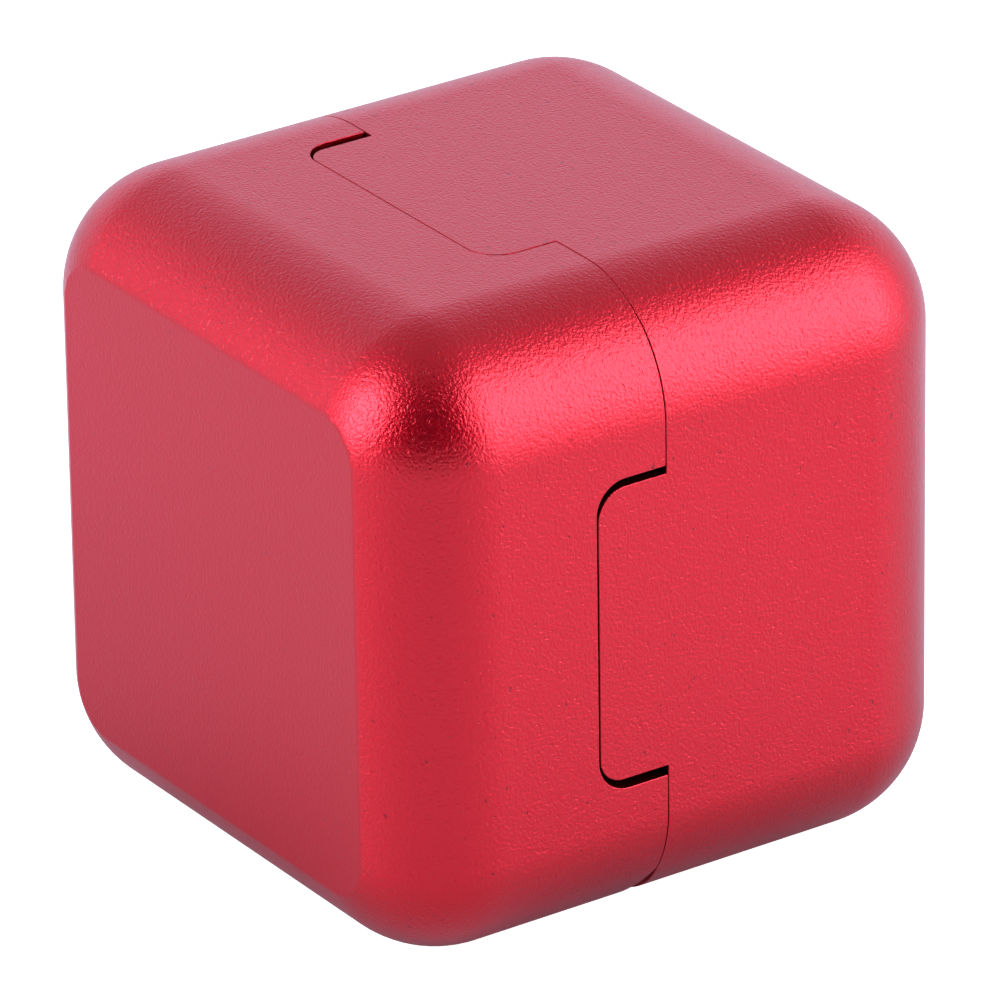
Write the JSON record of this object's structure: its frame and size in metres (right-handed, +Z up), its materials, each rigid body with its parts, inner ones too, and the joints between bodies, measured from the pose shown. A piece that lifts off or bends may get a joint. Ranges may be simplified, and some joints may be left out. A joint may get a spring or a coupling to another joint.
{
  "type": "folding cube finger spinner",
  "caption": "Pocket cube of two hinged metal half shells that open into a bar, which spins on a ball bearing held between two finger caps.",
  "frame": {"origin": "centre of the closed cube's underside, on the bearing's axis", "axes": "+Z up through the bearing's axis, +Y towards the rear shell and away from the front shell, +X along the hinge pins"},
  "size_m": [0.03, 0.03, 0.03],
  "materials": {
    "red_anodised": "bead-blasted and anodised red, satin",
    "steel": "ground and polished stainless steel",
    "nickel": "nickel-plated magnets",
    "cage_brass": "plain brass"
  },
  "bodies": {
    "block": {"bearing_block": "red_anodised", "retaining_ring": "steel", "bearing_outer_ring": "steel", "front_hinge_pin": "steel", "rear_hinge_pin": "steel"},
    "front_half": {"front_shell": "red_anodised", "front_hinge_leaf": "steel", "front_leaf_screw_left": "steel", "front_leaf_screw_right": "steel", "front_magnet_left": "nickel", "front_magnet_right": "nickel"},
    "rear_half": {"rear_shell": "red_anodised", "rear_hinge_leaf": "steel", "rear_leaf_screw_left": "steel", "rear_leaf_screw_right": "steel", "rear_magnet_left": "nickel", "rear_magnet_right": "nickel"},
    "caps": {"lower_finger_cap": "red_anodised", "upper_finger_cap": "red_anodised", "bearing_inner_ring": "steel"},
    "ball_set": {"bearing_cage": "cage_brass", "bearing_ball_01": "steel", "bearing_ball_02": "steel", "bearing_ball_03": "steel", "bearing_ball_04": "steel", "bearing_ball_05": "steel", "bearing_ball_06": "steel", "bearing_ball_07": "steel", "bearing_ball_08": "steel", "bearing_ball_09": "steel", "bearing_ball_10": "steel"}
  },
  "joints": [
    {"name": "rear_hinge", "type": "hinge", "parent": "block", "child": "rear_half", "pos_m": [0, 0.0102, 0.0026], "axis": [-1, 0, 0], "range_deg": [0, 90]},
    {"name": "front_hinge", "type": "hinge", "parent": "block", "child": "front_half", "pos_m": [0, -0.0102, 0.0026], "axis": [1, 0, 0], "range_deg": [0, 90]},
    {"name": "caps_spin", "type": "hinge", "parent": "block", "child": "caps", "pos_m": [0, 0, 0.0054], "axis": [0, 0, 1], "continuous": true},
    {"name": "balls_orbit", "type": "hinge", "parent": "block", "child": "ball_set", "pos_m": [0, 0, 0.0054], "axis": [0, 0, 1], "continuous": true}
  ],
  "couplings": [
    {"joint": "front_hinge", "follows": "rear_hinge", "ratio": 1},
    {"joint": "balls_orbit", "follows": "caps_spin", "ratio": 0.41667}
  ]
}
